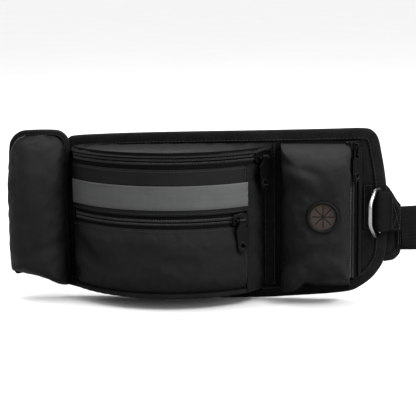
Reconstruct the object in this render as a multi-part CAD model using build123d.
from build123d import *
import math
import os

# Waist bag: three pockets on one bound back panel, a waist belt with a side-release buckle,
# a leash ring and a round bag dispenser port. Millimetres.
# -Y is the front, +Z is up, and +X is right in a front view, the wearer's left-hand side.
# "Left" and "right" in names are as seen from the front.
# Origin: centre of the wearer-side face of the back pad. Heights are given from the bottom
# edge of the back panel and dropped by Z_ORIGIN when a part is written.

Z_ORIGIN = 76.0
CLOTH_T = 1.4            # pocket fabric

# back panel, pad and edge tape
PANEL_FRONT_Y, PANEL_REAR_Y = -8.0, -5.5
PAD_INSET = 13.0
BINDING_FRONT = 9.5      # width of the edge tape on the front
BINDING_REAR = 6.0       # and on the rear
BINDING_T = 0.9
SEAM_Y = PANEL_FRONT_Y - 1.3   # where pocket fabric ends in front of the panel

# centre pocket: its front seams and zips are arcs about one upright axis
ARC_X, ARC_Y = -24.0, 56.0
ARC_R = 114.6
ARC_LEFT, ARC_RIGHT = -50.3, 39.2    # degrees from straight ahead
TOP_ZIP_Z, FRONT_ZIP_Z = 132.5, 78.5
TOP_ZIP_ENDS = (-51.0, 52.0)         # degrees
FRONT_ZIP_ENDS = (-49.0, 38.6)
TOP_SLIDER_AT, FRONT_SLIDER_AT = 46.8, 34.6
ZIP_OPEN = 5.5           # half the gap between the two fabric edges
FRONT_BOTTOM_Z = 12.0
STRIP_LOW_Z, STRIP_HIGH_Z = 90.0, 111.5
LINING_OUT, LINING_IN = -6.8, -7.6   # depth outwards from the fabric's outer face

# zip sections: depths outwards from the fabric's outer face, distances from the zip's centre
COIL_OUT, COIL_IN = -1.5, -3.7
COIL_HALF, COIL_GAP = 2.6, 0.9
TAPE_OUT, TAPE_IN = -2.3, -2.9
TAPE_HALF = 8.0

# slider and puller
BODY_L, BODY_NOSE, BODY_TAIL = 14.6, 12.4, 9.6
CROWN_X, CROWN_H, CROWN_R = 4.8, 4.6, 0.85
CROWN_LEG_R, CROWN_W = 0.9, 2.4
PULL_L, PULL_W = 29.0, 10.8

# right pocket
RZIP_X, RZIP_Y = 141.6, -16.6
RZIP_ANGLE = math.radians(45.0)      # the zip faces this far to the right of straight ahead
RZIP_LOW, RZIP_HIGH = 20.0, 142.0
RZIP_COIL_INSET = 0.8
RZIP_PULL_H = 2.85       # height of the puller's pivot over the fabric face
RSLIDER_Z = 138.0

# dispenser port
PORT_X, PORT_Y, PORT_Z = 114.5, -42.0, 82.0
PORT_FLANGE_R = 14.0
PORT_BORE_R = 11.3       # inside of the flange, round the slit membrane
PORT_NECK_R = PORT_BORE_R + 0.9
RETAINER_R, RETAINER_T = 14.4, 1.3
MEMBRANE_T, SLIT_COUNT = 1.1, 8
SLIT_L, SLIT_W = 9.1, 0.35

# left pouch
POUCH_BACK_FRONT_Y, POUCH_BACK_REAR_Y = -11.6, -10.2

# leash ring and its tab
RING_X, RING_Y, RING_Z = 164.0, -13.3, 81.7
RING_WIRE_R = 1.9
RING_REST = 65.0         # degrees out from the panel
TAB_T = 1.4
TAB_HALF_H = 18.2
TAB_END_X = 184.0
TAB_TURN_R = RING_WIRE_R + 0.35 + TAB_T / 2
TAB_PLY_STEP = 1.55      # between the centres of the two plies

WING_FRONT_Y, WING_REAR_Y = -4.5, -2.7

# belt and keeper
BELT_T, BELT_W = 1.5, 39.5
BELT_BACK_Y, BELT_TAIL_Y = 214.0, 219.0      # the main run and the folded-back tail
BELT_BACK_LOW = 6.0
BELT_TURN_R = (BELT_TAIL_Y - BELT_BACK_Y) / 2
KEEPER_X0, KEEPER_X1 = 54, 68

# buckle, centred on the fold of the belt
BUCKLE_Y = (BELT_BACK_Y + BELT_TAIL_Y) / 2
BUCKLE_Z = BELT_BACK_LOW + BELT_W / 2
SHELL_T, FRAME_T, ARM_T = 11.2, 8.4, 5.8
BUCKLE_HALF_W = 25
BAR_HALF_L = 22
FEMALE_BAR_X, FEMALE_BAR_R = -34.6, 1.6
MALE_BAR_X, MALE_REAR_BAR_X, MALE_BAR_R = 11.0, 22.5, 1.55
ARM_ROOT_X, ARM_ROOT_Z = -1.4, 15.8
ARM_ROOT_R, ARM_SOCKET_R = 2.6, 2.75

# ---------------------------------------------------------------- measured outlines
# x, z
PANEL_OUTLINE = [
    (-125, 140), (-116.5, 146.2), (-108, 148.9), (-60, 151), (0, 152.3), (60, 153.3),
    (120, 154.6), (150, 155.2), (158, 152.4), (162.3, 146), (165, 134), (169, 110),
    (171.3, 80), (170.8, 58), (168.6, 38), (163.3, 27), (157.2, 19.5), (147.5, 12),
    (138, 7.6), (118, 5.0), (90, 2.8), (57, 0.6), (10, 0.0), (-40, 1.0),
    (-80, 3.4), (-112, 8.0), (-136, 17), (-153, 33), (-162, 56), (-165, 82),
    (-161, 108), (-150, 126), (-132, 135),
]
POUCH_OUTLINE = [
    (-172.6, 24), (-173.2, 70), (-172.4, 110), (-171.0, 138), (-168.0, 147.5),
    (-160.5, 153.6), (-150, 155.0), (-130, 155.2), (-121.5, 153.4), (-116.0, 147.0),
    (-115.4, 138), (-117.4, 118), (-118.6, 90), (-118.8, 60), (-118.0, 30), (-117.0, 12),
    (-126, 9.6), (-134.5, 12.2), (-141, 15.2), (-153, 18.6), (-163, 20.6),
]
POUCH_TAPE = [(-161, 136), (-127, 136), (-127, 146), (-161, 146)]
SEAM_STRIP = [
    (60.6, 13), (61.6, 11.6), (71.0, 11.6), (72.0, 13), (72.0, 142.6), (60.6, 142.4),
]
RING_PATCH = [(149.8, 64), (158.6, 64), (158.6, 106), (149.8, 106)]
RING_TAB_CUT = [
    (172.4, 101), (176.0, 95.2), (180.0, 88.6), (183.2, 84.4), (190, 83.6), (190, 110),
    (172.4, 110),
]
RIGHT_WING = [
    (160.6, 107), (166, 105.5), (171.6, 101.8), (175.6, 96), (179.6, 89.5), (183.6, 84.6),
    (185, 84), (185, 49), (183.6, 46.6), (181.6, 41), (177, 36.6), (171, 35.4),
    (165, 33.5), (160.6, 33),
]
LEFT_WING = [
    (-152.8, 101), (-158.5, 96), (-163, 88), (-166, 86.7), (-166, 47.2), (-163, 46),
    (-158.5, 40), (-152.8, 36),
]

# Pocket outlines drawn in by the cloth thickness:
# x, y, then how far x and y move for each millimetre of inset
RIGHT_PLAN = [
    (76.4, -6, 1, 0), (77.2, -16, 1, 0), (79.0, -28, 1, 0), (83.5, -36.6, 0.8, 0.6),
    (91.0, -41.0, 0.4, 0.9), (98.0, -42.0, 0, 1), (127.0, -42.0, 0, 1),
    (133.6, -39.4, -0.5, 0.9), (137.6, -33.0, -0.9, 0.5), (138.8, -26.0, -1, 0),
]
POUCH_PLAN = [
    (-171.6, -10.0, 1, 0), (-171.8, -18, 1, 0), (-169.4, -27, 1, 0), (-163, -34.0, 0.6, 0.7),
    (-154, -37.4, 0, 1), (-138, -37.4, 0, 1), (-128, -34.4, -0.6, 0.7),
    (-121.6, -27, -1, 0), (-119.8, -18, -1, 0), (-119.6, -10.0, -1, 0),
]
# y, z, then how far y and z move for each millimetre of inset
RIGHT_SIDE = [
    (-6, 9.0, 0, 1), (-14, 11.5, 0, 1), (-30, 19.5, 0, 1), (-39.5, 27.0, 0.7, 0.7),
    (-42.6, 36, 1, 0), (-42.6, 116, 1, 0), (-40.4, 127, 0.9, -0.5),
    (-32, 136.5, 0.2, -1), (-20, 141.3, 0, -1), (-6, 143.6, 0, -1),
]
POUCH_SIDE = [
    (-11.0, 13, 0, 1), (-20, 17, 0, 1), (-31, 24, 0.6, 0.8), (-36.4, 38, 1, 0),
    (-37.2, 60, 1, 0), (-35.6, 92, 1, 0), (-30.0, 118, 1, 0), (-22.4, 138, 1, 0),
    (-17.0, 150.0, 1, -0.3), (-11.0, 153.4, 0, -1),
]
# y, z: region cut from the top of the right zip's inner tape
RZIP_TAPE_CUT = [(-60, 150), (-5, 150), (-5, 141.2), (-14, 140.2), (-22, 138.4), (-60, 126)]

# x, y: belt centre lines from the bag round to the back
RIGHT_BELT_CURVE = [
    (180.4, -5.45), (190, -5.45), (200, -4.0), (214, 4), (227, 22), (234, 52), (232, 90),
    (218, 132), (190, 170), (158, 196), (128, 209.5), (104, BELT_BACK_Y),
]
LEFT_BELT_CURVE = [
    (-153, -1.7), (-160, -1.6), (-166, 1.5), (-170.5, 9), (-174, 24), (-178, 52),
    (-179.5, 90), (-173, 130), (-155, 167), (-128, 195), (-100, 209.5), (-78, BELT_BACK_Y),
]
# y, z: lower edge of the belt
BELT_DROOP = [
    (-20, 45.0), (10, 45.0), (30, 43.6), (60, 39.5), (100, 30.5), (140, 19.5), (175, 10.8),
    (200, 7.0), (212, BELT_BACK_LOW), (230, BELT_BACK_LOW),
]
# x, z from the buckle's centre: the upper arm
ARM_OUTLINE = [
    (-2.0, 13.4), (-20, 13.0), (-23.4, 15.2), (-23.6, 17.6), (-21.6, 22.6), (-19.4, 24.2),
    (-11.4, 24.4), (-10.2, 23.4), (-10.2, 18.4), (-2.0, 18.2),
]


# ---------------------------------------------------------------- outlines
def smooth(points, steps, closed=True):
    """Catmull-Rom points through a rough outline."""
    out = []
    count = len(points)
    for i in range(count if closed else count - 1):
        if closed:
            window = [points[(i + k - 1) % count] for k in range(4)]
        else:
            window = [points[min(max(i + k - 1, 0), count - 1)] for k in range(4)]
        for k in range(steps):
            t = k / steps
            out.append(tuple(
                0.5 * ((2 * start) + (-before + end) * t
                       + (2 * before - 5 * start + 4 * end - after) * t * t
                       + (-before + 3 * start - 3 * end + after) * t ** 3)
                for before, start, end, after in zip(*window)))
    if not closed:
        out.append(points[-1])
    return out


def signed_area(points):
    """Positive if the outline runs anticlockwise."""
    return 0.5 * sum(points[i - 1][0] * points[i][1] - points[i][0] * points[i - 1][1]
                     for i in range(len(points)))


def distance_to(point, outline):
    """Distance from a point to a closed outline."""
    best = math.inf
    for i in range(len(outline)):
        (ax, ay), (bx, by) = outline[i - 1], outline[i]
        dx, dy = bx - ax, by - ay
        t = ((point[0] - ax) * dx + (point[1] - ay) * dy) / (dx * dx + dy * dy)
        t = max(0.0, min(1.0, t))
        best = min(best, math.hypot(point[0] - ax - dx * t, point[1] - ay - dy * t))
    return best


def grown(outline, distance):
    """A closed outline moved outwards by distance, or inwards if negative."""
    sign = 1 if signed_area(outline) > 0 else -1
    out = []
    for i, (x, y) in enumerate(outline):
        (ax, ay), (bx, by) = outline[i - 1], outline[(i + 1) % len(outline)]
        dx, dy = bx - ax, by - ay
        length = math.hypot(dx, dy)
        out.append((x + sign * dy / length * distance, y - sign * dx / length * distance))
    if distance < 0:
        # drop points that folded over at tight corners
        out = [point for point in out if distance_to(point, outline) > -distance * 0.985]
    return out


def drawn_in(table, inset):
    return [(a + inset * a_rate, b + inset * b_rate) for a, b, a_rate, b_rate in table]


def ribbon(path, thickness):
    """The outline of a strip along an open path."""
    left, right = [], []
    for i, (x, y) in enumerate(path):
        ax, ay = path[max(i - 1, 0)]
        bx, by = path[min(i + 1, len(path) - 1)]
        length = math.hypot(bx - ax, by - ay)
        shift_x = -(by - ay) / length * thickness / 2
        shift_y = (bx - ax) / length * thickness / 2
        left.append((x + shift_x, y + shift_y))
        right.append((x - shift_x, y - shift_y))
    return left + right[::-1]


def half_turn(x, y, radius, start, direction):
    """Points inside a half circle that starts at an angle; direction 1 is anticlockwise."""
    angles = [start + direction * math.pi * k / 12 for k in range(1, 12)]
    return [(x + radius * math.cos(a), y + radius * math.sin(a)) for a in angles]


# ---------------------------------------------------------------- basic solids
def face_of(points):
    return make_face(Polyline(*points, close=True))


def slab_xz(points, y0, y1):
    """A flat piece with an outline in X and Z, between two depths."""
    return extrude(Plane.XZ.offset(-y1) * face_of(points), amount=y1 - y0)


def slab_xy(points, z0, z1):
    return extrude(Pos(0, 0, z0) * face_of(points), amount=z1 - z0)


def slab_yz(points, x0, x1):
    return extrude(Plane.YZ.offset(x0) * face_of(points), amount=x1 - x0)


def box(x0, x1, y0, y1, z0, z1):
    centre = Pos((x0 + x1) / 2, (y0 + y1) / 2, (z0 + z1) / 2)
    return centre * Box(abs(x1 - x0), abs(y1 - y0), abs(z1 - z0))


def rod(start, end, radius):
    along = Vector(*end) - Vector(*start)
    return extrude(Plane(origin=start, z_dir=along) * Circle(radius), amount=along.length)


def disc(radius, height):
    """A cylinder standing on z = 0."""
    return Cylinder(radius, height, align=(Align.CENTER, Align.CENTER, Align.MIN))


def washer(outer_r, inner_r, height):
    return disc(outer_r, height) - disc(inner_r, height)


# ---------------------------------------------------------------- centre pocket geometry
def arc_point(radius, degrees):
    angle = math.radians(degrees)
    return (ARC_X + radius * math.sin(angle), ARC_Y - radius * math.cos(angle))


def arc_points(radius, start, end, steps):
    return [arc_point(radius, start + (end - start) * i / steps) for i in range(steps + 1)]


def turned(profile, start, end):
    """A radius-height profile turned about the pocket's upright axis."""
    s, c = math.sin(math.radians(start)), math.cos(math.radians(start))
    plane = Plane(origin=(ARC_X, ARC_Y, 0), x_dir=(s, -c, 0), z_dir=(-c, -s, 0))
    axis = Axis((ARC_X, ARC_Y, 0), (0, 0, 1))
    return revolve(plane * face_of(profile), axis=axis, revolution_arc=end - start)


def band(out, inn, z0, z1, start, end):
    """A band between two depths from the fabric face."""
    r0, r1 = ARC_R + inn, ARC_R + out
    return turned([(r0, z0), (r1, z0), (r1, z1), (r0, z1)], start, end)


def arc_frame(degrees, z):
    """Frame on the pocket arc: x along the travel to the right, y up, z outwards."""
    s, c = math.sin(math.radians(degrees)), math.cos(math.radians(degrees))
    return Plane(origin=(*arc_point(ARC_R, degrees), z), x_dir=(c, s, 0), z_dir=(s, -c, 0))


# ---------------------------------------------------------------- back panel, pad and edge tape
PANEL = smooth(PANEL_OUTLINE, 4)


def back_panel():
    return slab_xz(PANEL, PANEL_FRONT_Y, PANEL_REAR_Y)


def back_pad():
    return slab_xz(grown(smooth(PANEL_OUTLINE, 2), -PAD_INSET), PANEL_REAR_Y, 0)


def edge_binding():
    tape = slab_xz(grown(PANEL, BINDING_T), PANEL_FRONT_Y - BINDING_T, PANEL_REAR_Y + BINDING_T)
    tape -= back_panel()
    tape -= slab_xz(grown(PANEL, -BINDING_FRONT), PANEL_FRONT_Y - 3, PANEL_FRONT_Y + 0.5)
    tape -= slab_xz(grown(PANEL, -BINDING_REAR), PANEL_REAR_Y - 0.5, PANEL_REAR_Y + 3)
    return tape


# ---------------------------------------------------------------- centre pocket
def pocket_front_upper():
    """The fabric between the two zips."""
    low, high = FRONT_ZIP_Z + ZIP_OPEN + 0.6, TOP_ZIP_Z - ZIP_OPEN - 1.0
    inner_r = ARC_R - CLOTH_T
    profile = [(inner_r, low), (ARC_R, low), (ARC_R + 0.15, 105), (ARC_R, high), (inner_r, high)]
    return turned(profile, ARC_LEFT, ARC_RIGHT)


def pocket_front_lower():
    """The slightly bulging fabric below the front zip."""
    outer = [(ARC_R - 1.6, FRONT_BOTTOM_Z), (ARC_R + 0.4, 22), (ARC_R + 1.2, 38),
             (ARC_R + 0.8, 56), (ARC_R, FRONT_ZIP_Z - ZIP_OPEN)]
    inner = [(r - CLOTH_T, z) for r, z in reversed(outer)]
    return turned(outer + inner, ARC_LEFT, ARC_RIGHT)


def reflective_strip():
    return band(0.7, 0.2, STRIP_LOW_Z, STRIP_HIGH_Z, ARC_LEFT + 0.2, ARC_RIGHT - 0.2)


def pocket_top():
    """The top, between the arc and the back panel."""
    arc = [point for point in arc_points(ARC_R - 0.2, -54.0, 54.0, 40)
           if point[1] < SEAM_Y - 0.5 and point[0] > -112.6]
    points = [(arc[0][0] - 0.3, SEAM_Y)] + arc + [(arc[-1][0] + 0.3, SEAM_Y)]
    low = TOP_ZIP_Z + TAPE_HALF + 0.3
    return slab_xy(points, low, low + CLOTH_T)


def pocket_bottom():
    arc = arc_points(ARC_R - 1.8, ARC_LEFT, ARC_RIGHT, 36)
    points = [(arc[0][0], SEAM_Y)] + arc + [(60.4, SEAM_Y)]
    high = FRONT_BOTTOM_Z - 0.2
    return slab_xy(points, high - CLOTH_T, high)


def pocket_side(degrees, rear_x, inward, inner_step):
    """A side wall from the arc back to the panel; inward is the sign of x into the pocket."""
    x, y = arc_point(ARC_R, degrees)
    step_x, step_y = inner_step
    points = [(x, y), (rear_x, SEAM_Y), (rear_x + inward * CLOTH_T, SEAM_Y),
              (x + inward * step_x, y + step_y)]
    return slab_xy(points, FRONT_BOTTOM_Z, TOP_ZIP_Z - TAPE_HALF - 0.2)


def pocket_lining():
    return band(LINING_OUT, LINING_IN, FRONT_BOTTOM_Z + 0.4, FRONT_ZIP_Z + 14,
                ARC_LEFT + 1.0, ARC_RIGHT - 2.0)


def seam_strip():
    """Tape between the centre and right pockets."""
    return slab_xz(SEAM_STRIP, PANEL_FRONT_Y - 1.2, PANEL_FRONT_Y)


# ---------------------------------------------------------------- zips on the arc
def arc_zip_tape(z, ends):
    return Compound(children=[
        band(TAPE_OUT, TAPE_IN, z - TAPE_HALF, z - COIL_HALF, *ends),
        band(TAPE_OUT, TAPE_IN, z + COIL_HALF, z + TAPE_HALF, *ends)])


def arc_zip_coil(z, ends):
    start, end = ends[0] + 0.6, ends[1] - 0.6
    return Compound(children=[
        band(COIL_OUT, COIL_IN, z - COIL_HALF, z - COIL_GAP / 2, start, end),
        band(COIL_OUT, COIL_IN, z + COIL_GAP / 2, z + COIL_HALF, start, end)])


def slider_body():
    """x along the travel with the open nose at +x, y across, z outwards from the fabric face."""
    half = BODY_L / 2
    shoulder, nose, tail = half * 0.35, BODY_NOSE / 2, BODY_TAIL / 2
    front_outline = FilletPolyline(
        (-half, -tail), (shoulder, -nose), (half, -nose + 1.2),
        (half, nose - 1.2), (shoulder, nose), (-half, tail), radius=1.6, close=True)
    front = extrude(Pos(0, 0, 0.3) * make_face(front_outline), amount=1.4)
    front = fillet(front.faces().sort_by(Axis.Z)[-1].edges(), 0.55)
    rear_x, rear_y = half - 0.6, 4.8
    rear_outline = FilletPolyline(
        (-rear_x, -rear_y), (rear_x, -rear_y), (rear_x, rear_y), (-rear_x, rear_y),
        radius=1.4, close=True)
    body = front + extrude(Pos(0, 0, -5.8) * make_face(rear_outline), amount=1.4)
    # side flanges on both plates, then the post at the nose that joins the plates
    flange_x = half - 1.2
    for side in (-1, 1):
        body += box(-flange_x, flange_x, side * 3.3, side * 4.7, -1.85, 0.35)
        body += box(-flange_x, flange_x, side * 3.3, side * 4.7, -4.45, -3.45)
    body += box(4.6, 6.4, -0.3, 0.3, -4.45, 0.35)
    # crown: a bridge along the travel
    for side in (-1, 1):
        body += box(side * (CROWN_X - CROWN_LEG_R), side * (CROWN_X + CROWN_LEG_R),
                    -CROWN_W / 2, CROWN_W / 2, 1.6, CROWN_H)
        body += Pos(side * CROWN_X, 0, CROWN_H) * Rot(90, 0, 0) * Cylinder(CROWN_LEG_R, CROWN_W)
    body += rod((-CROWN_X, 0, CROWN_H), (CROWN_X, 0, CROWN_H), CROWN_R)
    return body


def puller_side():
    """Hangs across the travel: a barrel round the crown bar, with a flat tab along -y."""
    thickness = 1.7
    barrel_x, barrel_r = 2.9, 2.0
    shoulder, end = (PULL_W + 1.0) / 2, (PULL_W - 1.4) / 2
    tip = -PULL_L
    round_l = end - 0.2
    half = [(barrel_x, 0), (barrel_x, -3.2), (shoulder - 1.2, -6.0), (shoulder, -8.0),
            (shoulder, -11.0), (end, tip + round_l), (end - 0.9, tip + round_l * 0.45),
            (end - 2.6, tip + 0.5), (1.2, tip)]
    outline = half + [(-x, y) for x, y in reversed(half)]
    tab = extrude(Pos(0, 0, -thickness / 2) * face_of(outline), amount=thickness)
    tab = fillet(tab.faces().sort_by(Axis.Z)[-1].edges(), 0.4)
    tab += rod((-barrel_x, 0, 0), (barrel_x, 0, 0), barrel_r)
    # raised rim and hole near the tip
    hole_y = tip + 6.2
    tab += Pos(0, hole_y, thickness / 2 - 0.1) * washer(3.7, 2.5, 0.9)
    tab -= Pos(0, hole_y, 0) * Cylinder(1.9, 8)
    tab -= rod((-6, 0, 0), (6, 0, 0), CROWN_R + 0.2)
    return tab


def puller_along():
    """Hangs along the travel: an eye with a cross bar under the crown, a flat tab along -x."""
    thickness = 1.5
    eye, side = 3.6, (PULL_W - 0.6) / 2
    tip = -PULL_L
    half = [(0, eye), (-7.2, eye), (-10.0, side), (-13, side), (tip + 3.4, side - 0.6),
            (tip + 1.0, side - 2.0), (tip, 1.4)]
    outline = half + [(x, -y) for x, y in reversed(half)]
    tab = extrude(Pos(0, 0, -thickness / 2) * face_of(outline), amount=thickness)
    tab = fillet(tab.faces().sort_by(Axis.Z)[-1].edges(), 0.35)
    tab += rod((0, -eye, 0), (0, eye, 0), 0.75)
    # open the eye right through, then put a thinner round bar across it
    tab -= box(-7.4, -0.75, -1.9, 1.9, -3, 3)
    tab -= box(-0.76, 0.8, -1.9, 1.9, -3, 3)
    tab += rod((0, -2.2, 0), (0, 2.2, 0), 0.7)
    # raised rim and hole near the tip
    hole_x = tip + 5.6
    tab += Pos(hole_x, 0, thickness / 2 - 0.1) * washer(3.4, 2.3, 0.9)
    tab -= Pos(hole_x, 0, 0) * Cylinder(1.8, 8)
    return tab


# ---------------------------------------------------------------- right pocket
RZIP_OUT_X, RZIP_OUT_Y = math.sin(RZIP_ANGLE), -math.cos(RZIP_ANGLE)
RZIP_FRAME = Plane(origin=(RZIP_X, RZIP_Y, RSLIDER_Z), x_dir=(0, 0, 1),
                   z_dir=(RZIP_OUT_X, RZIP_OUT_Y, 0))


def rzip_point(across, out):
    """A plan point across and out of the right pocket's zip."""
    return (RZIP_X + math.cos(RZIP_ANGLE) * across + RZIP_OUT_X * out,
            RZIP_Y + math.sin(RZIP_ANGLE) * across + RZIP_OUT_Y * out)


def rzip_strip(near, far, out, inn, z0, z1):
    """An upright strip of the zip between two distances across it."""
    points = [rzip_point(near, out), rzip_point(near, inn),
              rzip_point(far, inn), rzip_point(far, out)]
    return slab_xy(points, z0, z1)


def right_pocket_block(inset):
    """The pocket's solid envelope: its plan crossed with its side view."""
    edge_x, edge_y = rzip_point(-ZIP_OPEN - 0.4, -inset)
    plan = drawn_in(RIGHT_PLAN, inset) + [(edge_x, edge_y), (edge_x - 0.2, -6)]
    return slab_xy(plan, 4, 150) & slab_yz(drawn_in(RIGHT_SIDE, inset), 60, 150)


def right_pocket_front():
    shell = right_pocket_block(0.0) - right_pocket_block(CLOTH_T)
    # open at the panel, along the zip and at the port
    shell -= box(60, 160, PANEL_FRONT_Y - 1.0, 10, 0, 160)
    edge = -ZIP_OPEN - 0.1
    cut = [rzip_point(edge, 8), rzip_point(edge, -30), rzip_point(40, -30), rzip_point(40, 8)]
    shell -= slab_xy(cut, 0, 160)
    shell -= rod((PORT_X, -60, PORT_Z), (PORT_X, -20, PORT_Z), PORT_BORE_R + 1.1)
    return shell


def right_pocket_side():
    """The fabric on the far side of the zip, back to the panel."""
    edge = ZIP_OPEN + 0.1
    points = [rzip_point(edge, 0), rzip_point(edge, -CLOTH_T), (146.6, SEAM_Y), (149.0, SEAM_Y)]
    return slab_xy(points, 22.0, 140.0)


def right_zip_tape():
    span = (TAPE_OUT, TAPE_IN, RZIP_LOW, RZIP_HIGH)
    inner = rzip_strip(-COIL_HALF, -TAPE_HALF, *span) - slab_yz(RZIP_TAPE_CUT, 60, 160)
    return Compound(children=[inner, rzip_strip(COIL_HALF, TAPE_HALF - 1.4, *span)])


def right_zip_coil():
    span = (COIL_OUT, COIL_IN, RZIP_LOW + RZIP_COIL_INSET, RZIP_HIGH - RZIP_COIL_INSET)
    return Compound(children=[rzip_strip(side * COIL_HALF, side * COIL_GAP / 2, *span)
                              for side in (-1, 1)])


# ---------------------------------------------------------------- dispenser port, z outwards
PORT_FRAME = Plane(origin=(PORT_X, PORT_Y, PORT_Z), x_dir=(1, 0, 0), z_dir=(0, -1, 0))


def dispenser_grommet():
    """Flange and neck, turned from a radius-depth profile."""
    profile = [
        (PORT_BORE_R, -4.4), (PORT_NECK_R, -4.4), (PORT_NECK_R, 0.25),
        (PORT_FLANGE_R - 0.4, 0.25), (PORT_FLANGE_R, 0.8), (PORT_FLANGE_R - 0.1, 1.7),
        (PORT_FLANGE_R - 0.7, 2.3), (PORT_BORE_R + 1.2, 2.2), (PORT_BORE_R + 0.6, 1.6),
        (PORT_BORE_R, 0.9),
    ]
    flange = revolve(Plane.XZ * face_of(profile), axis=Axis.Z, revolution_arc=360)
    return PORT_FRAME.location * flange


def dispenser_membrane():
    """A disc with radial slits that meet in the middle."""
    membrane = Pos(0, 0, -1.2) * disc(PORT_BORE_R - 0.1, MEMBRANE_T)
    for k in range(SLIT_COUNT):
        slit = Pos(5.35, 0, -0.7) * Box(SLIT_L, SLIT_W, 3)
        membrane -= Rot(0, 0, 360 / SLIT_COUNT * k) * slit
    return PORT_FRAME.location * membrane


def dispenser_retainer():
    """The ring round the neck inside the pocket."""
    ring = Pos(0, 0, -3.6) * washer(RETAINER_R, PORT_NECK_R + 0.05, RETAINER_T)
    return PORT_FRAME.location * ring


# ---------------------------------------------------------------- left pouch
POUCH = smooth(POUCH_OUTLINE, 3)


def left_pouch_back():
    return slab_xz(grown(POUCH, -0.8), POUCH_BACK_FRONT_Y, POUCH_BACK_REAR_Y)


def pouch_block(inset, rear_y):
    """The pouch's solid envelope: plan, side view and front outline crossed."""
    return (slab_xy(drawn_in(POUCH_PLAN, inset), 0, 160)
            & slab_yz(drawn_in(POUCH_SIDE, inset), -180, -100)
            & slab_xz(grown(POUCH, -1.0 - inset), -45, rear_y))


def left_pouch_front():
    return pouch_block(0, POUCH_BACK_FRONT_Y - 0.1) - pouch_block(CLOTH_T, -9)


def left_pouch_binding():
    """Tape round the pouch's edge, left off along the bottom."""
    tape = slab_xz(grown(POUCH, 0.4), -12.7, -10.1) - slab_xz(grown(POUCH, -0.7), -20, -5)
    tape -= box(-180, -100, -30, 0, -5, 24)
    return tape


# ---------------------------------------------------------------- leash ring, its tab and patch
def leash_ring():
    """A D of round wire with its straight side upright."""
    path = FilletPolyline(
        (0, -20.8), (0, 20.8), (-9.5, 20.8), (-20, 9.5), (-20, -9.5), (-9.5, -20.8),
        radius=[2.4, 2.4, 5.0, 8.0, 8.0, 5.0], close=True)
    path = Plane(origin=(0, 0, 0), x_dir=(1, 0, 0), z_dir=(0, -1, 0)) * path
    section = Plane(origin=(0, 0, 0), z_dir=(0, 0, 1)) * Circle(RING_WIRE_R)
    return Pos(RING_X, RING_Y, RING_Z) * Rot(0, 0, RING_REST) * sweep(section, path=path)


def ring_tab():
    """A strap looped round the ring's straight side, both ends to the right."""
    rear_y, front_y = RING_Y + TAB_TURN_R, RING_Y - TAB_TURN_R
    inner_ply_y = rear_y - TAB_PLY_STEP
    path = [(TAB_END_X, rear_y), (176.0, rear_y), (RING_X, rear_y)]
    path += half_turn(RING_X, RING_Y, TAB_TURN_R, math.pi / 2, 1)
    path += [(RING_X, front_y), (RING_X + 3.4, front_y + 0.9), (RING_X + 8.6, rear_y - 2.0),
             (RING_X + 11.0, inner_ply_y), (TAB_END_X, inner_ply_y)]
    tab = slab_xy(ribbon(path, TAB_T), RING_Z - TAB_HALF_H, RING_Z + TAB_HALF_H)
    # the outer top corner follows the slant of the wing
    return tab - slab_xz(RING_TAB_CUT, -30, 5)


def ring_patch():
    return slab_xz(RING_PATCH, PANEL_FRONT_Y - 0.7, PANEL_FRONT_Y)


# ---------------------------------------------------------------- belt
def belt(path, x0, x1):
    """A ribbon in plan, trimmed to the drooping band seen from the side."""
    low = smooth(BELT_DROOP, 4, closed=False)
    side_view = low + [(y, z + BELT_W) for y, z in reversed(low)]
    return slab_xy(ribbon(path, BELT_T), -5, 100) & slab_yz(side_view, x0, x1)


def right_belt():
    """Runs to the male half's bar, turns round it and runs back through the keeper."""
    path = smooth(RIGHT_BELT_CURVE, 4, closed=False)
    path += [(x, BELT_BACK_Y) for x in (80, 50, 30, MALE_BAR_X)]
    path += half_turn(MALE_BAR_X, BUCKLE_Y, BELT_TURN_R, -math.pi / 2, -1)
    path += [(x, BELT_TAIL_Y) for x in (MALE_BAR_X, 40, 92)]
    return belt(path, -5, 260)


def left_belt():
    """Turns round the female half's bar; its short tail lies on the belt."""
    path = smooth(LEFT_BELT_CURVE, 4, closed=False)
    path += [(-60, BELT_BACK_Y), (FEMALE_BAR_X, BELT_BACK_Y)]
    path += half_turn(FEMALE_BAR_X, BUCKLE_Y, BELT_TURN_R, -math.pi / 2, 1)
    tail_y = BELT_BACK_Y + BELT_T + 0.1
    path += [(FEMALE_BAR_X, BELT_TAIL_Y), (-44, BELT_TAIL_Y), (-50, tail_y), (-66, tail_y)]
    return belt(path, -260, 5)


def belt_keeper():
    """A sleeve round the belt and its tail."""
    y0, y1 = BELT_BACK_Y - BELT_T / 2, BELT_TAIL_Y + BELT_T / 2
    z0, z1 = BELT_BACK_LOW, BELT_BACK_LOW + BELT_W
    keeper = box(KEEPER_X0, KEEPER_X1, y0 - 1.5, y1 + 1.5, z0 - 1.6, z1 + 1.6)
    keeper = fillet(keeper.edges().filter_by(Axis.X), 1.1)
    keeper -= box(KEEPER_X0 - 4, KEEPER_X1 + 4, y0 - 0.3, y1 + 0.3, z0 - 0.4, z1 + 0.4)
    return keeper


# ---------------------------------------------------------------- buckle, about its own centre
def buckle_plate(face, thickness):
    plane = Plane(origin=(0, BUCKLE_Y + thickness / 2, BUCKLE_Z), x_dir=(1, 0, 0),
                  z_dir=(0, -1, 0))
    return extrude(plane * face, amount=thickness)


def rounded(plate, radius):
    """Rounds the edges of the front and rear faces."""
    faces = plate.faces().sort_by(Axis.Y)
    return fillet(faces[0].edges() + faces[-1].edges(), radius)


def buckle_box(x0, x1, half_y, z0, z1):
    return box(x0, x1, BUCKLE_Y - half_y, BUCKLE_Y + half_y, BUCKLE_Z + z0, BUCKLE_Z + z1)


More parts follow.
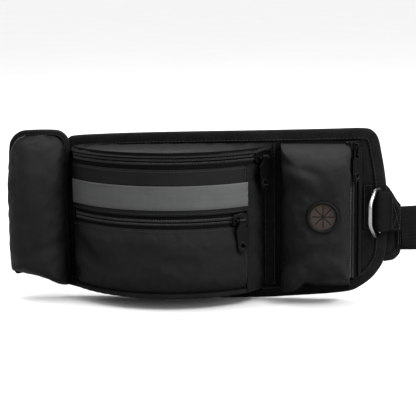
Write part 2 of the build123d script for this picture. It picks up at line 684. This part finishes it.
def buckle_bar(x, radius):
    return rod((x, BUCKLE_Y, BUCKLE_Z - BAR_HALF_L), (x, BUCKLE_Y, BUCKLE_Z + BAR_HALF_L), radius)


def arm_root(side, half_y, radius):
    """A round through the buckle's depth where an arm meets the male half."""
    z = BUCKLE_Z + side * ARM_ROOT_Z
    return rod((ARM_ROOT_X, BUCKLE_Y - half_y, z), (ARM_ROOT_X, BUCKLE_Y + half_y, z), radius)


def buckle_female():
    outline = FilletPolyline((-30.5, -21.5), (-2.0, -BUCKLE_HALF_W), (-2.0, BUCKLE_HALF_W),
                             (-30.5, 21.5), radius=3.0, close=True)
    female = rounded(buckle_plate(make_face(outline), SHELL_T), 1.6)
    for side in (-1, 1):
        female += buckle_box(-37.6, -26, 3.2, side * 20.6, side * 24.0)
    female += buckle_bar(FEMALE_BAR_X, FEMALE_BAR_R)
    # cavity, then a window at the top and bottom
    female -= buckle_box(-26.5, 0, 3.5, -20.2, 20.2)
    for side in (-1, 1):
        female -= buckle_box(-23.0, -8.6, 3.5, side * 15.0, side * 30.0)
    return female


def buckle_male():
    """A frame with two belt bars, a centre tongue and a socket for each arm."""
    outline = FilletPolyline((-1.6, -BUCKLE_HALF_W), (28.0, -BUCKLE_HALF_W),
                             (28.0, BUCKLE_HALF_W), (-1.6, BUCKLE_HALF_W),
                             radius=2.2, close=True)
    male = rounded(buckle_plate(make_face(outline), FRAME_T), 1.2)
    male -= buckle_box(5.0, 40.0, 10, -20.6, 20.6)
    male += buckle_bar(MALE_BAR_X, MALE_BAR_R)
    male += buckle_bar(MALE_REAR_BAR_X, MALE_BAR_R)
    male += buckle_box(-23.0, -1.0, 2.6, -3.2, 3.2)
    for side in (-1, 1):
        male -= arm_root(side, 10, ARM_SOCKET_R)
    return male


def buckle_arm(side):
    arm = buckle_plate(face_of([(x, side * z) for x, z in ARM_OUTLINE]), ARM_T)
    return arm + arm_root(side, ARM_T / 2, ARM_ROOT_R)


# ---------------------------------------------------------------- assemble and write
TOP_FRAME = arc_frame(TOP_SLIDER_AT, TOP_ZIP_Z).location
FRONT_FRAME = arc_frame(FRONT_SLIDER_AT, FRONT_ZIP_Z).location
slider = slider_body()
hanging_puller = Pos(0, 0, CROWN_H) * puller_side()

parts = {
    "back_panel": back_panel(),
    "back_pad": back_pad(),
    "edge_binding": edge_binding(),
    "pocket_front_upper": pocket_front_upper(),
    "pocket_front_lower": pocket_front_lower(),
    "reflective_strip": reflective_strip(),
    "pocket_top": pocket_top(),
    "pocket_bottom": pocket_bottom(),
    "pocket_side_right": pocket_side(ARC_RIGHT + 0.15, 61.2, -1, (1.0, 1.2)),
    "pocket_side_left": pocket_side(ARC_LEFT - 0.1, -113.4, 1, (1.1, 1.0)),
    "pocket_lining": pocket_lining(),
    "top_zip_tape": arc_zip_tape(TOP_ZIP_Z, TOP_ZIP_ENDS),
    "top_zip_coil": arc_zip_coil(TOP_ZIP_Z, TOP_ZIP_ENDS),
    "front_zip_tape": arc_zip_tape(FRONT_ZIP_Z, FRONT_ZIP_ENDS),
    "front_zip_coil": arc_zip_coil(FRONT_ZIP_Z, FRONT_ZIP_ENDS),
    "top_zip_slider": TOP_FRAME * slider,
    "top_zip_puller": TOP_FRAME * hanging_puller,
    "front_zip_slider": FRONT_FRAME * slider,
    "front_zip_puller": FRONT_FRAME * hanging_puller,
    "seam_strip": seam_strip(),
    "right_pocket_front": right_pocket_front(),
    "right_pocket_side": right_pocket_side(),
    "right_zip_tape": right_zip_tape(),
    "right_zip_coil": right_zip_coil(),
    "right_zip_slider": RZIP_FRAME.location * slider,
    "right_zip_puller": RZIP_FRAME.location * (Pos(0, 0, RZIP_PULL_H) * puller_along()),
    "dispenser_grommet": dispenser_grommet(),
    "dispenser_membrane": dispenser_membrane(),
    "dispenser_retainer": dispenser_retainer(),
    "left_pouch_back": left_pouch_back(),
    "left_pouch_front": left_pouch_front(),
    "left_pouch_binding": left_pouch_binding(),
    "pouch_hook_tape": slab_xz(POUCH_TAPE, -12.8, -11.7),
    "pouch_loop_tape": slab_xz(POUCH_TAPE, -14.0, -12.9),
    "leash_ring": leash_ring(),
    "ring_tab": ring_tab(),
    "ring_patch": ring_patch(),
    "right_wing": slab_xz(RIGHT_WING, WING_FRONT_Y, WING_REAR_Y),
    "left_wing": slab_xz(LEFT_WING, WING_FRONT_Y, WING_REAR_Y),
    "right_belt": right_belt(),
    "left_belt": left_belt(),
    "buckle_female": buckle_female(),
    "buckle_male": buckle_male(),
    "buckle_arm_upper": buckle_arm(1),
    "buckle_arm_lower": buckle_arm(-1),
    "belt_keeper": belt_keeper(),
}

os.makedirs("parts", exist_ok=True)
for name, shape in parts.items():
    solids = [Pos(0, 0, -Z_ORIGIN) * solid for solid in shape.solids()]
    out = solids[0] if len(solids) == 1 else Compound(children=solids)
    export_step(out, "parts/" + name + ".step")
